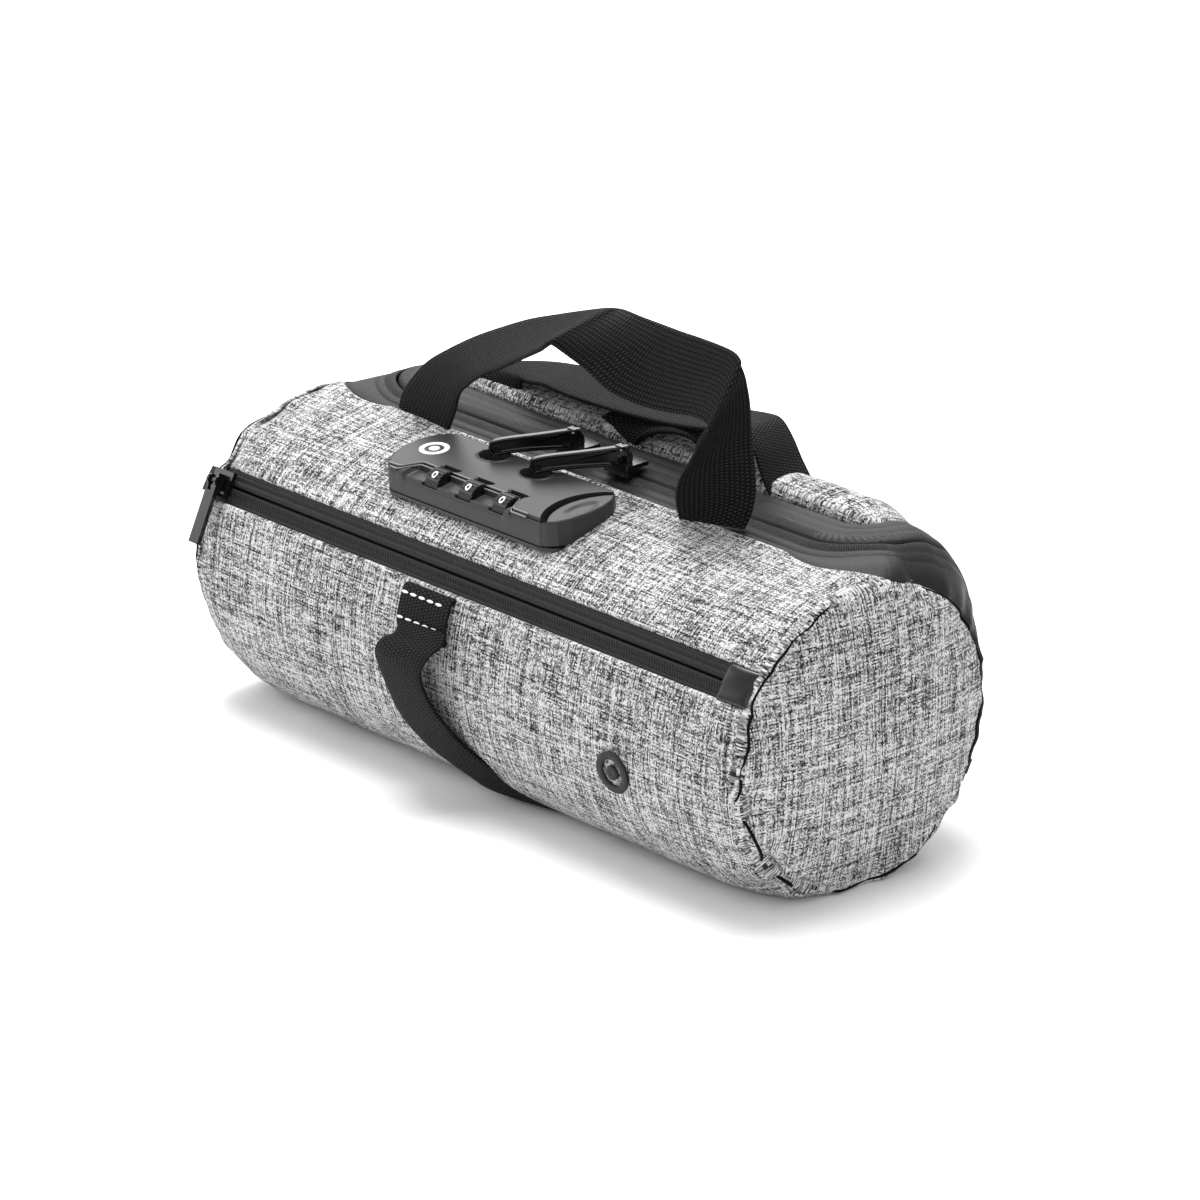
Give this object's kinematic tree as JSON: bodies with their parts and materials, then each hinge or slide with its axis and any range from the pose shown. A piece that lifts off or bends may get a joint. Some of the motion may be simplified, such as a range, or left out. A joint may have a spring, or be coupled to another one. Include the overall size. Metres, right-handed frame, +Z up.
{
  "type": "padded tube duffel bag",
  "caption": "Small padded cylindrical duffel bag with a front pocket zip, a U-shaped main zip, webbing handles and a combination lock for the zip pulls.",
  "frame": {"origin": "on the underside, midway between the end seams and under the axis of the end panels", "axes": "+X along the bag towards its right end, -Y the front with the pocket zip, +Z up"},
  "size_m": [0.2628, 0.1234, 0.1535],
  "materials": {
    "heather_fabric": "grey heather plain-weave polyester over thin foam",
    "lining_fabric": "black nylon lining",
    "coated_zip_tape": "polyurethane-coated twill tape, satin",
    "nylon_coil": "black nylon coil",
    "black_slider_metal": "black plated zinc, satin",
    "black_pull_metal": "black painted zinc, satin",
    "black_webbing": "black polypropylene webbing, fine weave",
    "coarse_webbing": "black webbing, basketweave",
    "lash_webbing": "black webbing, limp",
    "black_print": "black printed film",
    "lock_paint": "satin dark grey paint",
    "lock_base_plastic": "black plastic",
    "bright_steel": "bright steel",
    "dial_plastic": "black plastic, knurled",
    "white_inlay": "white print"
  },
  "bodies": {
    "bag": {"upper_front_panel": "heather_fabric", "lower_panel": "heather_fabric", "right_end_panel": "heather_fabric", "left_end_panel": "heather_fabric", "body_lining": "lining_fabric", "pocket_pouch": "lining_fabric", "main_zip_body_tape": "coated_zip_tape", "pocket_zip_lower_tape": "coated_zip_tape", "pocket_zip_upper_tape": "coated_zip_tape", "pocket_zip_end_patch": "coated_zip_tape", "pocket_zip_stop": "coated_zip_tape", "main_zip_right_stop": "coated_zip_tape", "main_zip_left_stop": "coated_zip_tape", "main_zip_body_coil": "nylon_coil", "pocket_zip_lower_coil": "nylon_coil", "pocket_zip_upper_coil": "nylon_coil", "lash_tab_front": "lash_webbing", "lash_strap": "lash_webbing", "lash_tab_rear": "lash_webbing", "emblem_patch": "black_print", "lock_housing": "lock_paint", "lock_base_plate": "lock_base_plastic", "lock_dial_axle": "bright_steel", "lock_return_spring": "bright_steel", "lock_screw_1": "bright_steel", "lock_screw_2": "bright_steel", "lock_screw_3": "bright_steel", "lock_inlay": "white_inlay"},
    "lid": {"lid_panel": "heather_fabric", "lid_lining": "lining_fabric", "main_zip_lid_tape": "coated_zip_tape", "main_zip_lid_coil": "nylon_coil", "rear_loop": "coarse_webbing"},
    "front_carry_handle": {"front_handle": "black_webbing"},
    "rear_carry_handle": {"rear_handle": "black_webbing"},
    "left_slider": {"main_slider_left": "black_slider_metal"},
    "right_slider": {"main_slider_right": "black_slider_metal"},
    "left_pull": {"main_pull_left": "black_pull_metal"},
    "right_pull": {"main_pull_right": "black_pull_metal"},
    "pocket_slider_body": {"pocket_slider": "black_slider_metal"},
    "pocket_pull_body": {"pocket_pull": "black_pull_metal"},
    "button": {"lock_button": "lock_paint", "lock_latch_bar": "bright_steel"},
    "dial_left": {"lock_dial_left": "dial_plastic"},
    "dial_middle": {"lock_dial_middle": "dial_plastic"},
    "dial_right": {"lock_dial_right": "dial_plastic"}
  },
  "joints": [
    {"name": "lid_fold", "type": "hinge", "parent": "bag", "child": "lid", "pos_m": [0, 0.04856, 0.01724], "axis": [-1, 0, 0], "range_deg": [0, 70]},
    {"name": "front_handle_fold", "type": "hinge", "parent": "bag", "child": "front_carry_handle", "pos_m": [0, -0.00162, 0.09581], "axis": [1, 0, 0], "range_deg": [-12, 60]},
    {"name": "rear_handle_fold", "type": "hinge", "parent": "lid", "child": "rear_carry_handle", "pos_m": [0, 0.03108, 0.10023], "axis": [-1, 0, 0], "range_deg": [0, 20]},
    {"name": "left_slider_travel", "type": "slide", "parent": "bag", "child": "left_slider", "axis": [-1, 0, 0], "range_m": [0, 0.014]},
    {"name": "right_slider_travel", "type": "slide", "parent": "bag", "child": "right_slider", "axis": [1, 0, 0], "range_m": [0, 0.014]},
    {"name": "left_pull_lift", "type": "hinge", "parent": "left_slider", "child": "left_pull", "pos_m": [-0.012, 0.0088, 0.10497], "axis": [-0.7766, 0.63, 0], "range_deg": [0, 29.4]},
    {"name": "right_pull_lift", "type": "hinge", "parent": "right_slider", "child": "right_pull", "pos_m": [0.01, 0.0088, 0.10497], "axis": [-0.7766, 0.63, 0], "range_deg": [0, 29.4]},
    {"name": "pocket_slider_travel", "type": "slide", "parent": "bag", "child": "pocket_slider_body", "axis": [1, 0, 0], "range_m": [0, 0.222]},
    {"name": "pocket_pull_swing", "type": "hinge", "parent": "pocket_slider_body", "child": "pocket_pull_body", "pos_m": [-0.1175, -0.04868, 0.07554], "axis": [-1, 0, 0], "range_deg": [0, 100]},
    {"name": "lock_button_press", "type": "slide", "parent": "bag", "child": "button", "axis": [-1, 0, 0], "range_m": [0, 0.0024], "stiffness_N_per_m": 400, "springref_m": -0.002},
    {"name": "left_dial_turn", "type": "hinge", "parent": "bag", "child": "dial_left", "pos_m": [-0.0296, -0.02931, 0.09261], "axis": [1, 0, 0], "continuous": true},
    {"name": "middle_dial_turn", "type": "hinge", "parent": "bag", "child": "dial_middle", "pos_m": [-0.014, -0.02931, 0.09261], "axis": [1, 0, 0], "continuous": true},
    {"name": "right_dial_turn", "type": "hinge", "parent": "bag", "child": "dial_right", "pos_m": [0.0016, -0.02931, 0.09261], "axis": [1, 0, 0], "continuous": true}
  ],
  "couplings": [
    {"joint": "left_pull_lift", "follows": "left_slider_travel", "rad_per_m": 36.65},
    {"joint": "right_pull_lift", "follows": "right_slider_travel", "rad_per_m": 36.65}
  ]
}
